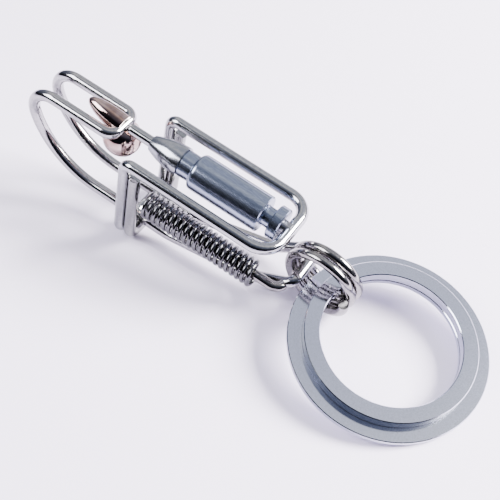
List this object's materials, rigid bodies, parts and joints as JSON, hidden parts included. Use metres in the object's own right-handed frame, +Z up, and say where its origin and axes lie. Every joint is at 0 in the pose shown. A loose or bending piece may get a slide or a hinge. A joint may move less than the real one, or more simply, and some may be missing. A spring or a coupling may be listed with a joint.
{
  "type": "split key ring with a sprung belt hook",
  "caption": "Polished wire belt-hook keychain with a sprung slider, a cartridge-shaped charm, a round link and a flat stepped split ring.",
  "frame": {"origin": "bottom centre of the overall box, on the surface the keychain lies on", "axes": "+X from the hook towards the split ring, +Z up"},
  "size_m": [0.0862, 0.032, 0.0229],
  "materials": {
    "hook_wire_steel": "polished",
    "guide_rod_steel": "polished",
    "bead_polish": "mirror polished",
    "frame_wire_steel": "polished",
    "keeper_wire_steel": "polished",
    "bolt_steel": "polished",
    "nose_steel": "satin",
    "case_steel": "satin brushed",
    "stud_steel": "satin",
    "spring_steel": "polished",
    "link_steel": "polished",
    "ring_steel": "polished"
  },
  "bodies": {
    "hook": {"hook_wire": "hook_wire_steel", "guide_rod": "guide_rod_steel", "latch_bead": "bead_polish", "return_spring": "spring_steel"},
    "slider": {"slider_frame": "frame_wire_steel", "keeper": "keeper_wire_steel", "bolt_rod": "bolt_steel", "bullet_nose": "nose_steel", "cartridge_case": "case_steel", "primer_stud": "stud_steel"},
    "link": {"round_link": "link_steel"},
    "ring": {"split_ring": "ring_steel"}
  },
  "joints": [
    {"name": "slider_slide", "type": "slide", "parent": "hook", "child": "slider", "axis": [0.9826, 0, -0.1857], "range_m": [0, 0.0022], "stiffness_N_per_m": 300, "springref_m": -0.003, "deforming": ["return_spring"]},
    {"name": "link_swing", "type": "hinge", "parent": "hook", "child": "link", "pos_m": [0.00983, 0.00323, 0.00661], "axis": [0, 1, 0], "range_deg": [-2, 25]},
    {"name": "ring_swing", "type": "hinge", "parent": "link", "child": "ring", "pos_m": [0.01494, 0.0029, 0.00655], "axis": [-0.2341, -0.972, -0.0192], "range_deg": [-45, 60]}
  ]
}
